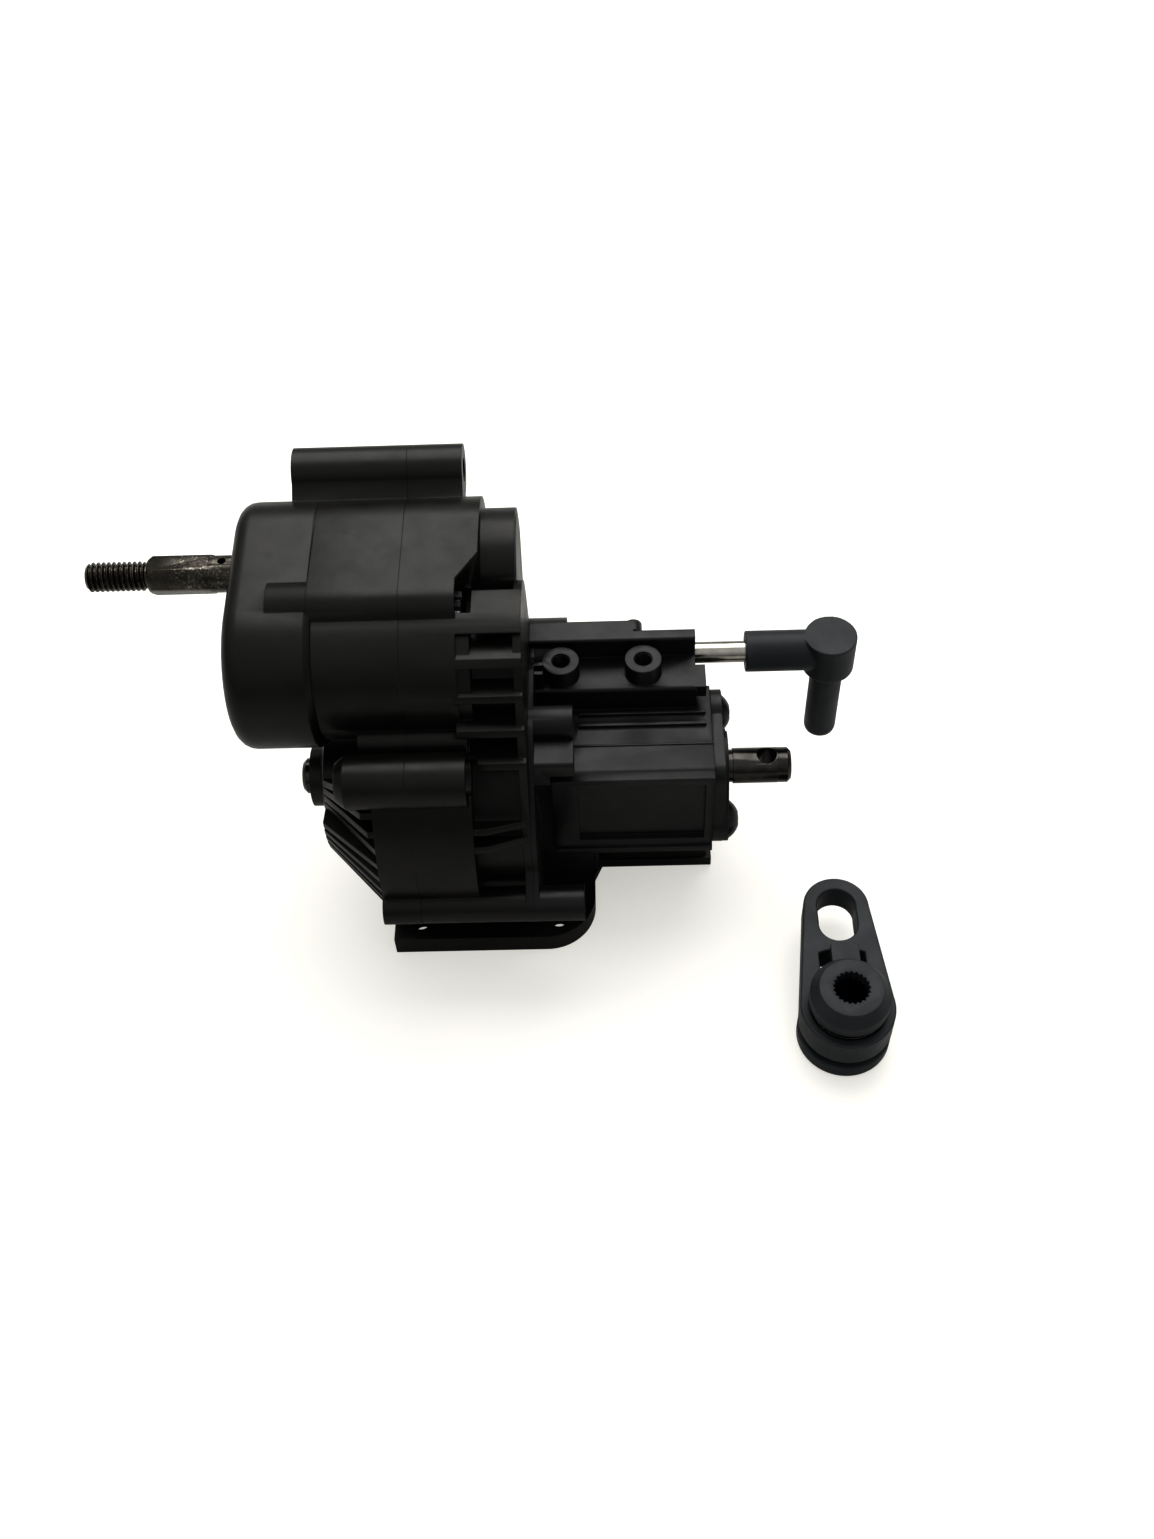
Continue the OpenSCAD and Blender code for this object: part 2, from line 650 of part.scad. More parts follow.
module housing_screws() {
  color([0.2, 0.2, 0.21]) {
    for (p = HOUSING_BOSSES) cap_screw_x(p, x_boss_end - screw_recess, x_housing - 5, M2_CAP);
    for (p = [LOW_BOSS, BACK_BOSS]) cap_screw_x(p, x_low_boss_end - screw_recess, -3.5, M2_CAP);
  }
}

module cap_screws() {
  color([0.2, 0.2, 0.21])
    for (k = [0, 1]) button_screw_x(CAP_SCREWS[k], CAP_SCREW_SEATS[k], x_cap - 8, M3_BUTTON);
}

// Countersunk screws up through the plate
module plate_screws() {
  color([0.2, 0.2, 0.21]) for (s = PLATE_SCREWS) translate([s[0], s[1], 0]) difference() {
    union() {
      cylinder(r1 = 2.9, r2 = screw_r, h = 1.4);
      cylinder(r = screw_r, h = s[2]);
    }
    translate([0, 0, -1]) cylinder(r = 1.155, h = 1.9, $fn = 6);
  }
}

// ---------------------------------------------------------------- bearings, seal and detent
module input_bearing_left() { color([0.7, 0.7, 0.72]) bearing(INPUT, x_top_bearing); }
module input_bearing_right() { color([0.7, 0.7, 0.72]) bearing(INPUT, x_small_bearing); }
module idler_bearing_left() { color([0.7, 0.7, 0.72]) bearing(IDLER, x_top_bearing); }
module idler_bearing_right() { color([0.7, 0.7, 0.72]) bearing(IDLER, x_small_bearing); }
module output_bearing_left() { color([0.7, 0.7, 0.72]) bearing(OUT, x_left_bearing); }
module output_bearing_middle() { color([0.7, 0.7, 0.72]) bearing(OUT, x_middle_bearing); }
module output_bearing_right() { color([0.7, 0.7, 0.72]) bearing(OUT, x_right_bearing); }

module rod_seal() {
  color([0.1, 0.1, 0.1]) translate([x_wall_end - 2.3, ROD[0], ROD[1]]) rotate([0, 90, 0])
    rotate_extrude() translate([rod_bore_r + 0.42, 0]) circle(r = 0.4, $fn = 24);
}

module detent_ball() {
  color([0.8, 0.8, 0.82]) translate([ball_x, ROD[0], ROD[1] - rod_r - 1.05]) sphere(r = 1);
}

// Closely wound spring, drawn as a stack of rings
module detent_spring() {
  coils = 6;
  wire = 0.25;
  top = ROD[1] - rod_r - 2.1;
  pitch = (top - detent_screw_top) / coils;
  color([0.75, 0.75, 0.78]) translate([ball_x, ROD[0], detent_screw_top]) difference() {
    union() {
      for (k = [0 : coils - 1]) translate([0, 0, k * pitch]) cylinder(r = 0.95, h = pitch / 2);
      cylinder(r = 0.8, h = top - detent_screw_top);
    }
    translate([0, 0, -1]) cylinder(r = 0.95 - wire, h = 20);
  }
}

module detent_screw() {
  color([0.2, 0.2, 0.21]) translate([ball_x, ROD[0], detent_bottom + 0.4]) difference() {
    cylinder(r = screw_r, h = detent_screw_top - detent_bottom - 0.4);
    translate([0, 0, -1]) cylinder(r = 0.87, h = 2.2, $fn = 6);
  }
}

// ---------------------------------------------------------------- input shaft
// Thread drawn as even V grooves round a bar that runs on by the given overlap
module thread_x(p, r, x0, x1, overlap) {
  depth = 0.6 * thread_pitch;
  lead = 0.4;
  count = floor((x1 - x0 - 2 * lead) / thread_pitch);
  translate([x0, p[0], p[1]]) rotate([0, 90, 0]) rotate_extrude() polygon(concat(
    [[0, 0], [r - 0.6, 0]],
    [for (k = [0 : count - 1], c = [[depth, 0], [0, 7 / 16], [0, 9 / 16]])
      [r - c[0], lead + (k + c[1]) * thread_pitch]],
    [[r - depth, lead + count * thread_pitch], [r - depth, x1 - x0 + overlap], [0, x1 - x0 + overlap]]
  ));
}

module input_shaft() {
  hex_r = 2.72;
  hex_len = x_hex_end - x_thread_end;
  edge = 0.8;
  color([0.24, 0.22, 0.2]) difference() {
    union() {
      thread_x(INPUT, thread_d / 2, x_thread_tip, x_thread_end, 1);
      translate([x_thread_end, INPUT[0], INPUT[1]]) rotate([0, 90, 0]) intersection() {
        rotate([0, 0, 30]) cylinder(r = hex_r, h = hex_len, $fn = 6);
        rotate_extrude() polygon([
          [0, 0], [2.2, 0], [hex_r + 0.05, edge],
          [hex_r + 0.05, hex_len - edge], [2.3, hex_len], [0, hex_len]
        ]);
      }
      bar_x(INPUT, shaft_r, x_hex_end - 1, x_disc_end - 0.8);
    }
    translate([x_hex_end + 0.8, INPUT[0], INPUT[1] - 5]) cylinder(r = 0.55, h = 10);
    tube_x(INPUT, shaft_r + 1, shaft_r - clip_groove, x_input_clip, x_input_clip + input_clip_w);
  }
}

module input_pinion() {
  color([0.45, 0.45, 0.47]) {
    gear_x(INPUT, input_teeth, heading(IDLER - INPUT), false,
      x_first_gear, x_first_gear + first_gear_w, shaft_r);
  }
}

// Ring that keeps the pinion from sliding along the shaft
module input_clip() {
  color([0.3, 0.3, 0.32]) clip_x(INPUT, shaft_r, x_input_clip, x_input_clip + input_clip_w);
}

clip_groove = 0.3;
input_clip_w = 0.55;

// Open retaining ring that sits in a groove of a shaft
module clip_x(p, r, x0, x1) {
  difference() {
    tube_x(p, r + 0.9, r - clip_groove, x0, x1);
    translate([x0 - 1, p[0] - 0.9, p[1]]) cube([x1 - x0 + 2, 1.8, r + 3]);
  }
}

// ---------------------------------------------------------------- idler shaft
module idler_shaft() {
  color([0.6, 0.6, 0.62]) bar_x(IDLER, shaft_r, x_top_bearing + 0.2, x_disc_end - 1);
}

module idler_gear() {
  color([0.45, 0.45, 0.47])
    gear_x(IDLER, idler_teeth, heading(INPUT - IDLER), true,
      x_first_gear, x_first_gear + first_gear_w, shaft_r);
}

module idler_spacer() {
  color([0.7, 0.7, 0.7]) tube_x(IDLER, shaft_r + 1, shaft_r, x_first_gear + first_gear_w, x_low_gear);
}

module low_pinion() {
  color([0.45, 0.45, 0.47]) {
    gear_x(IDLER, low_pinion_teeth, heading(OUT - IDLER), false, x_low_gear, x_low_face + 0.3, shaft_r);
    tube_x(IDLER, 4.2, shaft_r, x_low_face + 0.3, x_high_gear - 0.1);
  }
}

module high_pinion() {
  color([0.45, 0.45, 0.47])
    union() {
      gear_x(IDLER, high_pinion_teeth, heading(OUT - IDLER), false,
        x_high_gear - 0.1, x_high_end, shaft_r);
      tube_x(IDLER, 3.6, shaft_r, x_high_end, x_small_bearing - 0.05);
    }
}

// ---------------------------------------------------------------- output shaft
// The shaft has a relief groove where it leaves the end cap and a slightly thinner tip
module output_shaft() {
  chamfer = 0.5;
  relief = 0.2;
  tip_r = shaft_r - 0.02;
  x_tip = x_out_right - 1.9;
  color([0.3, 0.3, 0.32]) difference() {
    union() {
      cone_x(OUT, shaft_r - chamfer, shaft_r, x_out_left, x_out_left + chamfer);
      bar_x(OUT, shaft_r, x_out_left + chamfer, x_tip);
      bar_x(OUT, tip_r, x_tip, x_out_right - chamfer);
      cone_x(OUT, tip_r, shaft_r - chamfer, x_out_right - chamfer, x_out_right);
    }
    translate([x_out_right - 3.4, OUT[0], OUT[1] - 5]) cylinder(r = 1.4, h = 10);
    translate([x_hub_pin, OUT[0], OUT[1] - 5]) cylinder(r = 0.75, h = 10);
    tube_x(OUT, shaft_r + 1, shaft_r - relief, x_cap_end + 0.2, x_cap_end + 0.8);
  }
}

x_hub_pin = x_core + 2.6;

// Six-sided hub that carries the shift dog
module dog_hub() {
  color([0.5, 0.5, 0.52]) difference() {
    on_x(x_core, x_high_gear - 0.15) translate(OUT) difference() {
      circle(r = 4.62, $fn = 6);
      circle(r = shaft_r);
    }
    translate([x_hub_pin, OUT[0], OUT[1] - 6]) cylinder(r = 0.75, h = 12);
  }
}

module hub_pin() {
  color([0.75, 0.75, 0.78]) translate([x_hub_pin, OUT[0], OUT[1] - 3.9]) cylinder(r = 0.75, h = 7.8);
}

module left_spacer() {
  color([0.7, 0.7, 0.7])
    tube_x(OUT, shaft_r + 0.9, shaft_r, x_left_bearing + bearing_w + 0.06, x_low_gear - 0.08);
}

module middle_spacer() {
  color([0.7, 0.7, 0.7]) tube_x(OUT, shaft_r + 0.9, shaft_r, x_high_end + 0.08, x_middle_bearing - 0.06);
}

module right_spacer() {
  color([0.7, 0.7, 0.7])
    tube_x(OUT, shaft_r + 0.7, shaft_r, x_middle_bearing + bearing_w + 0.06, x_right_bearing - 0.06);
}

// ---------------------------------------------------------------- gears and dog on the output shaft
dog_in = 5.6;
dog_out = 8.4;
dog_half = 9;
dog_h = 1.1;
socket_half = 11.5;
socket_h = 1.25;

module low_gear() {
  color([0.42, 0.42, 0.44]) difference() {
    gear_x(OUT, low_gear_teeth, heading(IDLER - OUT), true, x_low_gear, x_low_face, shaft_r + 1);
    dog_teeth(dog_in - 0.2, dog_out + 0.2, socket_half, x_low_face - socket_h, x_low_face + 1);
  }
}

module low_gear_bush() {
  color([0.72, 0.53, 0.25]) tube_x(OUT, shaft_r + 1, shaft_r + running_gap, x_low_gear, x_low_face);
}

module high_gear() {
  color([0.42, 0.42, 0.44]) difference() {
    gear_x(OUT, high_gear_teeth, heading(IDLER - OUT), true, x_high_gear, x_high_end, shaft_r + 1);
    dog_teeth(dog_in - 0.2, dog_out + 0.2, socket_half, x_high_gear - 1, x_high_gear + socket_h);
  }
}

module high_gear_bush() {
  color([0.72, 0.53, 0.25]) tube_x(OUT, shaft_r + 1, shaft_r + running_gap, x_high_gear, x_high_end);
}

groove_w = 1.3;
groove_r = 7.3;
x_groove = x_core + core_w / 2;

module shift_dog() {
  color([0.5, 0.5, 0.52]) {
    difference() {
      on_x(x_core, x_core + core_w) translate(OUT) difference() {
        circle(r = 9);
        circle(r = 4.74, $fn = 6);
      }
      tube_x(OUT, 12, groove_r, x_groove - groove_w / 2, x_groove + groove_w / 2);
    }
    dog_teeth(dog_in, dog_out, dog_half, x_core - dog_h, x_core);
    dog_teeth(dog_in, dog_out, dog_half, x_core + core_w, x_core + core_w + dog_h);
  }
}

// ---------------------------------------------------------------- shift rod, fork and rod end
fork_t = 1.1;
x_clamp = 10.8;
x_clamp_end = 15.4;
clip_t = 0.4;
x_rod_left = 10.32;
x_sleeve = 45.2;
x_head = 57;
x_rod_right = 51;

module shift_rod() {
  color([0.78, 0.78, 0.8]) difference() {
    bar_x(ROD, rod_r, x_rod_left, x_rod_right);
    for (x = [ball_x, ball_x - shift_travel])
      translate([x, ROD[0], ROD[1]]) rotate([0, 90, 0]) rotate_extrude()
        translate([rod_r + 0.75, 0]) circle(r = 1, $fn = 32);
    for (x = [x_clamp - clip_t - 0.04, x_clamp_end + 0.04])
      tube_x(ROD, rod_r + 1, rod_r - 0.3, x, x + clip_t);
  }
}

// Fork with a bridge that reaches over the high gear to the clamp on the rod
module shift_fork() {
  aim = heading(ROD - OUT);
  bridge_w = 6.8;
  color([0.55, 0.55, 0.57]) difference() {
    union() {
      on_x(x_groove - fork_t / 2, x_groove + fork_t / 2) translate(OUT) rotate(aim) difference() {
        union() {
          circle(r = 10.8);
          translate([0, -3]) square([17.4, 6]);
        }
        circle(r = groove_r + 0.15);
        translate([-20, -20]) square([20, 40]);
      }
      on_x(x_groove - fork_t / 2, x_clamp_end) translate(OUT) rotate(aim)
        translate([15.1, -bridge_w / 2]) square([2.35, bridge_w]);
      bar_x(ROD, 3.3, x_clamp, x_clamp_end);
    }
    bar_x(ROD, rod_r, x_clamp - 1, x_clamp_end + 1);
    bar_x(ROD, rod_r + 1, x_rod_left - 0.3, x_clamp);
  }
}

module fork_clips() {
  color([0.3, 0.3, 0.32]) for (x = [x_clamp - clip_t - 0.02, x_clamp_end + 0.06])
    difference() {
      tube_x(ROD, rod_r + 0.9, rod_r - 0.3, x, x + clip_t - 0.02);
      translate([x - 1, ROD[0] - 0.7, ROD[1] - 5]) cube([clip_t + 2, 1.4, 5]);
    }
}

module rod_end() {
  head_r = 3.65;
  pin_r = 2.3;
  head_top = ROD[1] + 2.9;
  head_h = 6;
  pin_end = 16.3;
  color([0.16, 0.19, 0.23]) difference() {
    union() {
      bar_x(ROD, 2.88, x_sleeve, x_head);
      translate([x_head, ROD[0], head_top - head_h]) cylinder(r = head_r, h = head_h);
      translate([x_head, ROD[0], head_top - head_h - 1.2]) cylinder(r1 = pin_r, r2 = head_r, h = 1.2 + eps);
      translate([x_head, ROD[0], pin_end]) cylinder(r = pin_r, h = head_top - pin_end - 1);
      translate([x_head, ROD[0], pin_end]) intersection() {
        sphere(r = pin_r);
        translate([0, 0, -0.9]) cylinder(r = 5, h = 1);
      }
    }
    bar_x(ROD, rod_r, x_sleeve - 1, x_rod_right);
    translate([x_head, ROD[0], head_top - 0.2]) difference() {
      cylinder(r = 1.1, h = 1);
      cylinder(r = 0.92, h = 1);
    }
  }
}

// ---------------------------------------------------------------- servo horn
HORN = [57.4, -31];
slot_y0 = -18;
slot_y1 = -15;
arm_z0 = 4.2;
arm_z1 = 8.6;
hub_core_r = 3.7;
spring_r = 5;
arm_bore_r = 5.15;
arm_ring_r = 6.45;

function spline_points(r_in, r_out) =
  [for (t = [0 : spline_teeth - 1], c = [[-0.42, r_in], [-0.12, r_out], [0.12, r_out], [0.42, r_in]])
    c[1] * unit((t + c[0]) * 360 / spline_teeth)];

// Outline of the arm, from its ring to its slotted end
module arm_outline() {
  belt([0, 0], arm_ring_r, [0, slot_y1 - HORN[1]], 4.6);
}

module horn_arm() {
  far = slot_y1 - HORN[1];
  near = slot_y0 - HORN[1];
  color([0.14, 0.16, 0.2]) translate([HORN[0], HORN[1], 0]) difference() {
    union() {
      translate([0, 0, arm_z0]) linear_extrude(arm_z1 - arm_z0) arm_outline();
      translate([0, 0, arm_z0]) cylinder(r = arm_ring_r - 0.5, h = arm_z1 - arm_z0);
    }
    translate([0, 0, arm_z0 - 1]) cylinder(r = arm_bore_r, h = 8);
    translate([0, 0, arm_z0 - 1]) linear_extrude(8)
      belt([0, near], horn_slot_w / 2, [0, far], horn_slot_w / 2);
    // half-moon window for the hub's key
    translate([0, 0, arm_z0 - 1]) linear_extrude(8) intersection() {
      difference() {
        circle(r = 8.9);
        circle(r = arm_ring_r + 0.15);
      }
      translate([-3.2, 0]) square([6.4, 12]);
    }
  }
}

module horn_hub() {
  key_w = 3.8;
  color([0.16, 0.18, 0.22]) translate([HORN[0], HORN[1], 0]) difference() {
    union() {
      translate([0, 0, 2.7]) cylinder(r = hub_core_r, h = 8);
      translate([0, 0, 8.9]) cylinder(r = 4.9, h = 1);
      translate([0, 0, 9.8]) cylinder(r = 5.45, h = 1.9);
      translate([0, 0, 11.7 - eps]) cylinder(r1 = 5.45, r2 = 4.3, h = horn_h - 11.7 + eps);
      translate([-key_w / 2, 0, 9.8]) cube([key_w, 7.8, 1.9]);
      translate([-key_w / 2, 6.75, 5]) cube([key_w, 1.05, 5]);
    }
    translate([0, 0, 9.2]) linear_extrude(10) polygon(spline_points(2.25, 2.5));
    translate([0, 0, -1]) cylinder(r = 1.6, h = 20);
    translate([0, 0, 5.4]) cylinder(r = 2.1, h = 4);
  }
}

// Base disc that closes the horn from below
module horn_base() {
  color([0.14, 0.16, 0.2]) translate([HORN[0], HORN[1], 0]) difference() {
    union() {
      cylinder(r1 = 6.1, r2 = 6.43, h = 0.4);
      translate([0, 0, 0.4]) cylinder(r = 6.43, h = 2.1);
      translate([0, 0, 2.5 - eps]) cylinder(r = 5, h = 1.5);
    }
    translate([0, 0, -1]) cylinder(r = 2.6, h = 6);
    translate([0, 0, 2.7]) cylinder(r = hub_core_r, h = 6);
  }
}

// Open ring spring that clamps the arm to the hub
module horn_spring() {
  color([0.6, 0.6, 0.62]) translate([HORN[0], HORN[1], arm_z0 + 0.2]) difference() {
    cylinder(r = spring_r, h = arm_z1 - arm_z0 - 0.3);
    translate([0, 0, -1]) cylinder(r = hub_core_r, h = 8);
    translate([-1.2, 0, -1]) cube([2.4, 8, 8]);
  }
}

left_case();
middle_case();
shift_housing();
end_cap();
mount_plate();
case_screws();
housing_screws();
cap_screws();
plate_screws();
input_bearing_left();
input_bearing_right();
idler_bearing_left();
idler_bearing_right();
output_bearing_left();
output_bearing_middle();
output_bearing_right();
rod_seal();
detent_ball();
detent_spring();
detent_screw();
input_shaft();
input_pinion();
input_clip();
idler_shaft();
idler_gear();
idler_spacer();
low_pinion();
high_pinion();
output_shaft();
dog_hub();
hub_pin();
left_spacer();
middle_spacer();
right_spacer();
shift_dog();
low_gear();
low_gear_bush();
high_gear();
high_gear_bush();
shift_rod();
shift_fork();
fork_clips();
rod_end();
horn_hub();
horn_base();
horn_spring();
horn_arm();
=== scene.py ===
"""Looks of a two-speed crawler gearbox with its shift rod and a loose servo horn.

Lengths are in metres in the frame of the CAD: +X along the shafts, +Z up, the floor at z = 0.
Small sizes are written as multiples of MM.
"""

import json
import math

import bmesh
import bpy
from mathutils import Matrix, Vector

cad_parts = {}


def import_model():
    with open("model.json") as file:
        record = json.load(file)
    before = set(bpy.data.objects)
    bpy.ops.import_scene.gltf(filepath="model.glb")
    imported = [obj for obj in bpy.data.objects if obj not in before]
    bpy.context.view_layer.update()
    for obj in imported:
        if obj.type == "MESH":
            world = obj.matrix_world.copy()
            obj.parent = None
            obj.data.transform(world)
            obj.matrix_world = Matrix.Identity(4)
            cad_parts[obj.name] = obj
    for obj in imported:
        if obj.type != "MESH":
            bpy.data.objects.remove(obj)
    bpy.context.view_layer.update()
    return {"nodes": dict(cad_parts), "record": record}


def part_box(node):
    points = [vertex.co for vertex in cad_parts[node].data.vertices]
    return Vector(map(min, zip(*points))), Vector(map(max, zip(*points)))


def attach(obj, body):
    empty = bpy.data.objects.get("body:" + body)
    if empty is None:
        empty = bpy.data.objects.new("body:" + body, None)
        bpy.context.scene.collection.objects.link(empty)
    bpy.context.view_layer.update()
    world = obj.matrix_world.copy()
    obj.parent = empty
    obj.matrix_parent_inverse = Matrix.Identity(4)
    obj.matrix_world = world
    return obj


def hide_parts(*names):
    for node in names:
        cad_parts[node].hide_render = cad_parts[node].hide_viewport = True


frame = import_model()

MM = 0.001
NODES = frame["nodes"]
RECORD = frame["record"]
BODY_OF = {node: body for body, group in RECORD["behaviour"]["bodies"].items() for node in group}
SLOT_OF = {row["node"]: row["material_slot"] for row in RECORD["subparts"]}


# ---------------------------------------------------------------- places taken from the frame
def joint_point(name):
    found = next(j for j in RECORD["behaviour"]["joints"] if j["name"] == name)
    return Vector(found["pos_m"])


def mount(name):
    return next(m for m in RECORD["mounts"] if m["name"] == name)


INPUT = joint_point("input_spin")
HORN = joint_point("horn_arm_pivot")


# ---------------------------------------------------------------- node graphs
RANGE_SOCKETS = ("From Min", "From Max", "To Min", "To Max")
COLOUR_A, COLOUR_B, COLOUR_OUT = 6, 7, 2


class Graph:
    """Short names for building one material's nodes."""

    def __init__(self, name):
        self.material = bpy.data.materials.new(name)
        self.material.use_nodes = True
        self.tree = self.material.node_tree
        self.tree.nodes.clear()
        self.shader = self.add("ShaderNodeBsdfPrincipled")
        output = self.add("ShaderNodeOutputMaterial")
        self.link(self.shader, "BSDF", output, "Surface")
        self.place = self.add("ShaderNodeTexCoord")

    def add(self, kind, **values):
        node = self.tree.nodes.new(kind)
        for key, value in values.items():
            if hasattr(node, key):
                setattr(node, key, value)
            else:
                node.inputs[key.replace("_", " ")].default_value = value
        return node

    def link(self, a, out, b, into):
        self.tree.links.new(a.outputs[out], b.inputs[into])

    def stretched(self, scale):
        """Object coordinates scaled per axis, for streaks and turning marks."""
        node = self.add("ShaderNodeMapping")
        node.inputs["Scale"].default_value = scale
        self.link(self.place, "Object", node, "Vector")
        return node

    def noise(self, size, detail=3.0, rough=0.5, source=None):
        """Noise whose spots are about size across."""
        node = self.add("ShaderNodeTexNoise", Scale=1 / size, Detail=detail, Roughness=rough)
        if source:
            self.link(source, "Vector", node, "Vector")
        else:
            self.link(self.place, "Object", node, "Vector")
        return node

    def remap(self, node, out, low, high, to_low=0.0, to_high=1.0):
        ranged = self.add("ShaderNodeMapRange", clamp=True)
        for key, value in zip(RANGE_SOCKETS, (low, high, to_low, to_high)):
            ranged.inputs[key].default_value = value
        self.link(node, out, ranged, "Value")
        return ranged

    def times(self, a, b):
        node = self.add("ShaderNodeMath", operation="MULTIPLY")
        self.tree.links.new(a, node.inputs[0])
        self.tree.links.new(b, node.inputs[1])
        return node

    def mix(self, factor, a, b):
        """Mix of two colours, each a tuple or a socket, by a socket."""
        node = self.add("ShaderNodeMix", data_type="RGBA")
        self.tree.links.new(factor, node.inputs["Factor"])
        for socket, value in ((node.inputs[COLOUR_A], a), (node.inputs[COLOUR_B], b)):
            if isinstance(value, tuple):
                socket.default_value = (*value, 1.0)
            else:
                self.tree.links.new(value, socket)
        return node.outputs[COLOUR_OUT]

    def bump(self, height, depth, strength, under=None):
        node = self.add("ShaderNodeBump", Strength=strength, Distance=depth)
        self.tree.links.new(height, node.inputs["Height"])
        if under:
            self.tree.links.new(under.outputs["Normal"], node.inputs["Normal"])
        return node

    def edges(self, radius):
        """(soft normal, mask that is 1 on outer and inner edges)"""
        soft = self.add("ShaderNodeBevel", samples=4, Radius=radius)
        true = self.add("ShaderNodeNewGeometry")
        dot = self.add("ShaderNodeVectorMath", operation="DOT_PRODUCT")
        self.link(soft, "Normal", dot, 0)
        self.link(true, "Normal", dot, 1)
        return soft, self.remap(dot, "Value", 0.99, 0.75)


# sizes of the marks on plastic and on metal
RUBBED_EDGE = 0.18 * MM
RUBBED_PATCH = 1.6 * MM
FLOW_MARK = 9 * MM
GLEAM_PATCH = 3.5 * MM
SKIN_GRAIN, GRAIN_DEPTH = 0.16 * MM, 0.02 * MM
SKIN_WAVE, WAVE_DEPTH = 5 * MM, 0.05 * MM
METAL_EDGE = 0.08 * MM
METAL_CLOUD = 2.2 * MM
TURNING_MARK, MARK_DEPTH = 1.2 * MM, 0.01 * MM
SPECK, SPECK_PATCH = 0.35 * MM, 3 * MM


def moulded_plastic(name, dark, light, roughness, grain, gloss):
    """Injection-moulded nylon: faint flow marks, a fine skin texture and rubbed edges."""
    g = Graph(name)
    soft, edge = g.edges(RUBBED_EDGE)
    flow = g.noise(FLOW_MARK, 4, 0.6)
    cloud = g.remap(flow, "Fac", 0.35, 0.7)
    colour = g.mix(cloud.outputs["Result"], dark, light)
    patchy = g.remap(g.noise(RUBBED_PATCH, 5, 0.65), "Fac", 0.5, 0.72)
    wear = g.times(edge.outputs["Result"], patchy.outputs["Result"])
    worn = tuple(min(1.0, 2.6 * c + 0.012) for c in light)
    colour = g.mix(wear.outputs["Value"], colour, worn)
    g.tree.links.new(colour, g.shader.inputs["Base Color"])
    gleam = g.remap(g.noise(GLEAM_PATCH, 6, 0.6), "Fac", 0.3, 0.7, roughness - 0.06, roughness + 0.07)
    g.link(gleam, "Result", g.shader, "Roughness")
    skin = g.noise(SKIN_GRAIN, 2, 0.5)
    wave = g.noise(SKIN_WAVE, 2, 0.4)
    low = g.bump(wave.outputs["Fac"], WAVE_DEPTH, 0.35, soft)
    fine = g.bump(skin.outputs["Fac"], GRAIN_DEPTH, grain, low)
    g.link(fine, "Normal", g.shader, "Normal")
    g.shader.inputs["Specular IOR Level"].default_value = gloss
    return g.material


def turned_metal(name, dark, light, roughness, streak=(60, 1, 1), marks=0.25, specks=0.0):
    """Steel bar or ring with fine marks round it; specks rubs bright spots into a dark finish."""
    g = Graph(name)
    ring = g.noise(TURNING_MARK, 3, 0.6, g.stretched(streak))
    cloud = g.remap(g.noise(METAL_CLOUD, 5, 0.6), "Fac", 0.35, 0.7)
    colour = g.mix(cloud.outputs["Result"], dark, light)
    if specks:
        spot = g.remap(g.noise(SPECK, 4, 0.7), "Fac", 0.62 - 0.1 * specks, 0.72)
        rubbed = g.remap(g.noise(SPECK_PATCH, 3, 0.5), "Fac", 0.4, 0.62)
        mask = g.times(spot.outputs["Result"], rubbed.outputs["Result"])
        colour = g.mix(mask.outputs["Value"], colour, tuple(min(1.0, 3.2 * c + 0.1) for c in light))
    g.tree.links.new(colour, g.shader.inputs["Base Color"])
    g.shader.inputs["Metallic"].default_value = 1.0
    gleam = g.remap(ring, "Fac", 0.3, 0.7, roughness * 0.75, roughness * 1.3)
    g.link(gleam, "Result", g.shader, "Roughness")
    soft, _ = g.edges(METAL_EDGE)
    line = g.bump(ring.outputs["Fac"], MARK_DEPTH, marks, soft)
    g.link(line, "Normal", g.shader, "Normal")
    return g.material


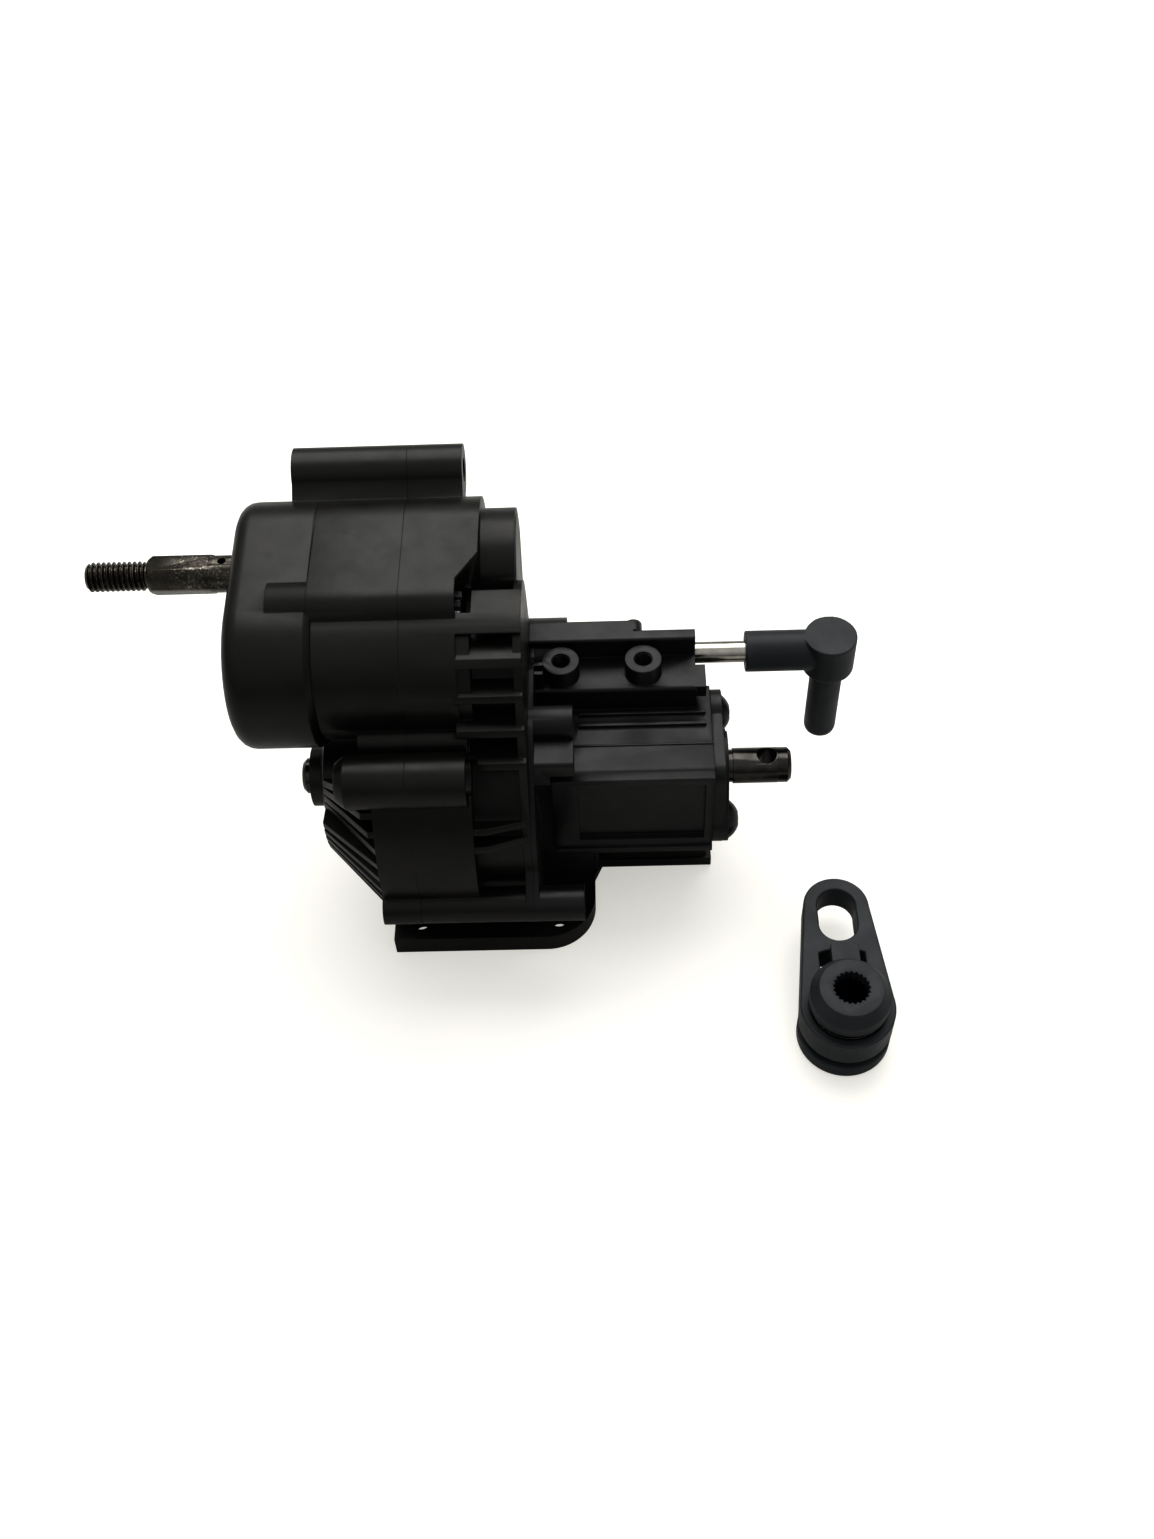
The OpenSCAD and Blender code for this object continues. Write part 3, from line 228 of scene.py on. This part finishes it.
MATERIALS = {
    "black_plastic": moulded_plastic(
        "nylon_black", dark=(0.0062, 0.006, 0.0053), light=(0.0105, 0.010, 0.009),
        roughness=0.36, grain=0.10, gloss=0.34),
    "housing_plastic": moulded_plastic(
        "nylon_housing", dark=(0.006, 0.0066, 0.0068), light=(0.0105, 0.0116, 0.0118),
        roughness=0.38, grain=0.12, gloss=0.36),
    "blue_plastic": moulded_plastic(
        "nylon_blue_grey", dark=(0.023, 0.026, 0.029), light=(0.034, 0.038, 0.0415),
        roughness=0.47, grain=0.22, gloss=0.28),
    "black_screw": turned_metal(
        "screw_black", dark=(0.03, 0.03, 0.031), light=(0.06, 0.06, 0.062), roughness=0.34, marks=0.15),
    "bearing_steel": turned_metal(
        "steel_bearing", dark=(0.48, 0.48, 0.5), light=(0.6, 0.6, 0.62), roughness=0.2),
    "gear_steel": turned_metal(
        "steel_gear", dark=(0.2, 0.2, 0.21), light=(0.3, 0.3, 0.31), roughness=0.3),
    "dark_shaft": turned_metal(
        "shaft_dark", dark=(0.045, 0.043, 0.041), light=(0.075, 0.072, 0.068), roughness=0.2, marks=0.2),
    "input_steel": turned_metal(
        "shaft_input", dark=(0.055, 0.05, 0.044), light=(0.10, 0.092, 0.08), roughness=0.3, specks=1.0),
    "bright_steel": turned_metal(
        "steel_bright", dark=(0.33, 0.32, 0.295), light=(0.44, 0.425, 0.39), roughness=0.16, marks=0.3),
    "bronze": turned_metal(
        "bronze_bush", dark=(0.42, 0.26, 0.11), light=(0.55, 0.36, 0.16), roughness=0.35),
    "rubber": moulded_plastic(
        "rubber_seal", dark=(0.012, 0.012, 0.012), light=(0.018, 0.018, 0.018),
        roughness=0.55, grain=0.1, gloss=0.3),
}


# ---------------------------------------------------------------- mesh helpers
def new_piece(name, mesh, body, slot, *nodes):
    """A finished piece in place of CAD nodes, riding on a body."""
    piece = bpy.data.objects.new(name, mesh)
    bpy.context.scene.collection.objects.link(piece)
    mesh.materials.clear()
    mesh.materials.append(MATERIALS[slot])
    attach(piece, body)
    if nodes:
        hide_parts(*nodes)
    return piece


def shade(mesh, angle=32):
    mesh.shade_smooth()
    mesh.set_sharp_from_angle(angle=math.radians(angle))


def clean_copy(node):
    """The node's mesh as joined flat faces, ready to be bevelled."""
    join_within, flat_within = 0.002 * MM, math.radians(0.4)
    mesh = NODES[node].data.copy()
    bm = bmesh.new()
    bm.from_mesh(mesh)
    bmesh.ops.remove_doubles(bm, verts=bm.verts, dist=join_within)
    bmesh.ops.dissolve_degenerate(bm, edges=bm.edges, dist=join_within)
    bmesh.ops.dissolve_limit(
        bm, angle_limit=flat_within, verts=bm.verts, edges=bm.edges, delimit={"NORMAL"})
    bm.to_mesh(mesh)
    bm.free()
    return mesh


def weigh_edges(mesh, planes, angle, core):
    """Bevel weight 1 on sharp edges, and a small one where rounding would show too much.

    That is in the parting planes, and within core of the horn's axis, where the spline is.
    """
    full, small, in_plane = 1.0, 0.2, 0.01 * MM
    bm = bmesh.new()
    bm.from_mesh(mesh)
    layers = bm.edges.layers.float
    layer = layers.get("bevel_weight_edge") or layers.new("bevel_weight_edge")
    for edge in bm.edges:
        if len(edge.link_faces) != 2 or edge.calc_face_angle(0) < math.radians(angle):
            continue
        a, b = edge.verts
        parting = any(max(abs(a.co.x - x), abs(b.co.x - x)) < in_plane for x in planes)
        inner = max(math.hypot(v.co.x - HORN.x, v.co.y - HORN.y) for v in (a, b)) < core
        edge[layer] = small if parting or inner else full
    bm.to_mesh(mesh)
    bm.free()


def bevel(piece, width, segments=2, angle=32, planes=(), core=0.0):
    weigh_edges(piece.data, planes, angle, core)
    rounding = piece.modifiers.new("rounded_edges", "BEVEL")
    rounding.width = width
    rounding.segments = segments
    rounding.limit_method = "WEIGHT"
    rounding.use_clamp_overlap = True
    rounding.harden_normals = False


def rounded(node, width, segments=2, planes=(), core=0.0):
    """A copy of the CAD node with its sharp edges rounded."""
    mesh = clean_copy(node)
    piece = new_piece(node + "_moulded", mesh, BODY_OF[node], SLOT_OF[node], node)
    bevel(piece, width, segments, planes=planes, core=core)
    shade(mesh, 60)


def blended(node, voxel, rounds):
    """A copy of the CAD node whose inner and outer corners flow into each other."""
    mesh = NODES[node].data.copy()
    piece = new_piece(node + "_moulded", mesh, BODY_OF[node], SLOT_OF[node], node)
    skin = piece.modifiers.new("skin", "REMESH")
    skin.mode = "VOXEL"
    skin.voxel_size = voxel
    skin.use_smooth_shade = True
    flow = piece.modifiers.new("flow", "SMOOTH")
    flow.factor = 0.5
    flow.iterations = rounds


def helix_grid(bm, radius_at, x0, x1, point, pitch, around=64, per_turn=12):
    """Closed skin between x0 and x1 whose radius follows a thread; adds it to bm."""
    rows = []
    count = math.ceil((x1 - x0) / pitch * per_turn)
    for k in range(count + 1):
        x = x0 + (x1 - x0) * k / count
        row = []
        for n in range(around):
            turn = n / around
            r = radius_at(x, (x / pitch - turn) % 1.0)
            a = 2 * math.pi * turn
            row.append(bm.verts.new((x, point.y + r * math.cos(a), point.z + r * math.sin(a))))
        rows.append(row)
    for low, high in zip(rows, rows[1:]):
        for n in range(around):
            m = (n + 1) % around
            bm.faces.new((low[n], low[m], high[m], high[n]))
    bm.faces.new(rows[0][::-1])
    bm.faces.new(rows[-1])


def post_threads():
    """Helical ridges that a thread-cutting M3 screw leaves in the two servo posts."""
    posts = mount("servo_posts")
    centre = Vector(posts["pos_m"])
    wall = posts["dims"]["hole_r_mm"] * MM
    spacing = posts["dims"]["spacing_x_mm"] * MM
    pitch, ridge = 0.5 * MM, 0.2 * MM
    root, back_wall = wall + 0.02 * MM, wall + 0.3 * MM
    top = centre.z - 0.25 * MM
    around, turns, per_turn = 40, 12, 6
    flank = 1.6
    bm = bmesh.new()
    for side in (-0.5, 0.5):

        def ring(z, radius_at):
            row = []
            for n in range(around):
                turn = n / around
                a = 2 * math.pi * turn
                r = radius_at(turn)
                x = centre.x + side * spacing + r * math.cos(a)
                row.append(bm.verts.new((x, centre.y + r * math.sin(a), z)))
            return row

        rows = []
        for k in range(turns * per_turn + 1):
            z = top - k * pitch / per_turn
            rows.append(ring(z, lambda turn: root - ridge * max(
                0.0, 1 - flank * abs(((z / pitch - turn) % 1.0) - 0.5) * 2)))
        ends = (rows[-1][0].co.z, rows[0][0].co.z)
        rows += [ring(z, lambda turn: back_wall) for z in ends] + [rows[0]]
        for low, high in zip(rows, rows[1:]):
            for n in range(around):
                m = (n + 1) % around
                bm.faces.new((low[m], low[n], high[n], high[m]))
    bmesh.ops.recalc_face_normals(bm, faces=bm.faces)
    mesh = bpy.data.meshes.new("post_thread_ridges")
    bm.to_mesh(mesh)
    bm.free()
    shade(mesh, 50)
    new_piece("post_thread_ridges", mesh, BODY_OF["shift_housing"], "housing_plastic")


def finished_input_shaft():
    """The input shaft with a helical M4 thread in place of the CAD's rings."""
    node = "input_shaft"
    crest, depth, pitch, length = 2.0 * MM, 0.43 * MM, 0.7 * MM, 8.4 * MM
    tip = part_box(node)[0].x
    end = tip + length
    mesh = clean_copy(node)
    bm = bmesh.new()
    bm.from_mesh(mesh)
    cut = bmesh.ops.bisect_plane(
        bm, geom=bm.verts[:] + bm.edges[:] + bm.faces[:],
        plane_co=(end + 0.05 * MM, 0, 0), plane_no=(1, 0, 0), clear_inner=True)
    rim = [e for e in cut["geom_cut"] if isinstance(e, bmesh.types.BMEdge)]
    bmesh.ops.contextual_create(bm, geom=rim)
    crest_share, flank_share = 0.125, 0.75
    chamfer, neck, fade = 0.45 * MM, 0.3 * MM, 0.4 * MM

    def radius_at(x, phase):
        v = abs(phase - 0.5) * 2
        groove = min(1.0, max(0.0, (v - crest_share) / flank_share))
        lead = crest - chamfer + (x - tip)
        run_out = 1.0 - min(1.0, max(0.0, (end - neck - x) / fade))
        r = crest - depth * max(groove, run_out)
        return min(r, lead)

    helix_grid(bm, radius_at, tip, end + 0.2 * MM, INPUT, pitch)
    bmesh.ops.recalc_face_normals(bm, faces=bm.faces)
    bm.to_mesh(mesh)
    bm.free()
    piece = new_piece("input_shaft_threaded", mesh, BODY_OF[node], SLOT_OF[node], node)
    bevel(piece, 0.07 * MM, 2, 50)
    shade(mesh, 60)


# ---------------------------------------------------------------- materials of the CAD nodes
for node, thing in NODES.items():
    thing.data.materials.clear()
    thing.data.materials.append(MATERIALS[SLOT_OF[node]])

# ---------------------------------------------------------------- moulded cases
PARTING = [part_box("left_case")[1].x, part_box("middle_case")[1].x]
rounded("left_case", 0.2 * MM, planes=PARTING)
rounded("middle_case", 0.16 * MM, planes=PARTING)
rounded("shift_housing", 0.14 * MM, planes=PARTING)
rounded("end_cap", 0.25 * MM)
rounded("mount_plate", 0.3 * MM)
rounded("horn_hub", 0.22 * MM, core=2.9 * MM)
rounded("horn_base", 0.2 * MM)
rounded("horn_arm", 0.22 * MM, 3)
blended("rod_end", 0.13 * MM, 6)
for part in ("output_shaft", "shift_rod", "cap_screws", "housing_screws", "case_screws"):
    rounded(part, 0.08 * MM)
finished_input_shaft()
post_threads()

# ---------------------------------------------------------------- floor, light and camera
def floor():
    """A pale sheet of paper just under the object, lifted a little by its own glow."""
    reach, drop = 4.0, 0.02 * MM
    g = Graph("floor_paper")
    cloud = g.remap(g.noise(60 * MM, 3, 0.5), "Fac", 0.3, 0.7)
    colour = g.mix(cloud.outputs["Result"], (0.58, 0.575, 0.555), (0.62, 0.615, 0.595))
    g.tree.links.new(colour, g.shader.inputs["Base Color"])
    g.shader.inputs["Emission Color"].default_value = (1.0, 0.985, 0.93, 1.0)
    glow = g.remap(g.add("ShaderNodeLightPath"), "Is Camera Ray", 0.0, 1.0, 0.0, 0.36)
    g.link(glow, "Result", g.shader, "Emission Strength")
    g.shader.inputs["Roughness"].default_value = 0.75
    g.shader.inputs["Specular IOR Level"].default_value = 0.2
    mesh = bpy.data.meshes.new("floor")
    corners = [(x * reach, y * reach, 0) for x, y in ((-1, -1), (1, -1), (1, 1), (-1, 1))]
    mesh.from_pydata(corners, [], [(0, 1, 2, 3)])
    sheet = bpy.data.objects.new("floor", mesh)
    sheet.location.z = -drop
    mesh.materials.append(g.material)
    bpy.context.scene.collection.objects.link(sheet)


def lamp(name, at, aim, size, power, colour):
    """A soft rectangular light at one place, aimed at another."""
    data = bpy.data.lights.new(name, "AREA")
    data.shape = "RECTANGLE"
    data.size, data.size_y = size
    data.energy = power
    data.color = colour
    thing = bpy.data.objects.new(name, data)
    thing.location = at
    thing.rotation_euler = (Vector(aim) - Vector(at)).to_track_quat("-Z", "Y").to_euler()
    bpy.context.scene.collection.objects.link(thing)


def world(horizon, zenith):
    """A pale room that is brighter overhead than at the horizon."""
    scene = bpy.context.scene
    scene.world = bpy.data.worlds.new("studio")
    scene.world.use_nodes = True
    tree = scene.world.node_tree
    back = tree.nodes["Background"]
    back.inputs["Color"].default_value = (1, 1, 0.99, 1)
    place = tree.nodes.new("ShaderNodeTexCoord")
    parts = tree.nodes.new("ShaderNodeSeparateXYZ")
    ranged = tree.nodes.new("ShaderNodeMapRange")
    low, high, paleness = 0.1, 0.8, 0.6
    for key, value in zip(RANGE_SOCKETS, (low, high, horizon, zenith)):
        ranged.inputs[key].default_value = value
    tree.links.new(place.outputs["Generated"], parts.inputs["Vector"])
    tree.links.new(parts.outputs["Z"], ranged.inputs["Value"])
    seen = tree.nodes.new("ShaderNodeLightPath")
    backdrop = tree.nodes.new("ShaderNodeMath")
    backdrop.operation = "MULTIPLY_ADD"
    backdrop.inputs[1].default_value = paleness
    tree.links.new(seen.outputs["Is Camera Ray"], backdrop.inputs[0])
    tree.links.new(ranged.outputs["Result"], backdrop.inputs[2])
    tree.links.new(backdrop.outputs["Value"], back.inputs["Strength"])


def camera():
    """Camera above the front, at the photograph's angle, for an image of 1154 by 1539."""
    long_side, focal = 1539, 1600
    place = Vector((26.56, -137.40, 200.51)) * MM
    data = bpy.data.cameras.new("camera")
    data.sensor_width = 36
    data.lens = focal * data.sensor_width / long_side
    data.clip_start, data.clip_end = 0.01, 20
    thing = bpy.data.objects.new("camera", data)
    forward = Vector((-0.02342, 0.60970, -0.79229)).normalized()
    right = Vector((0.99945, -0.00448, -0.03300))
    right = (right - forward * right.dot(forward)).normalized()
    up = right.cross(forward)
    turn = Matrix((right, up, -forward)).transposed()
    thing.matrix_world = Matrix.Translation(place) @ turn.to_4x4()
    bpy.context.scene.collection.objects.link(thing)
    bpy.context.scene.camera = thing


# ---------------------------------------------------------------- the shot and the end
floor()
lamp("top_light", at=(0.02, 0.45, 0.75), aim=(0.0, 0.0, 0.03), size=(0.9, 0.8), power=5.0,
     colour=(1, 0.995, 0.98))
world(horizon=0.18, zenith=0.62)
camera()
bpy.context.scene.view_settings.view_transform = "Standard"
bpy.context.scene.view_settings.look = "High Contrast"
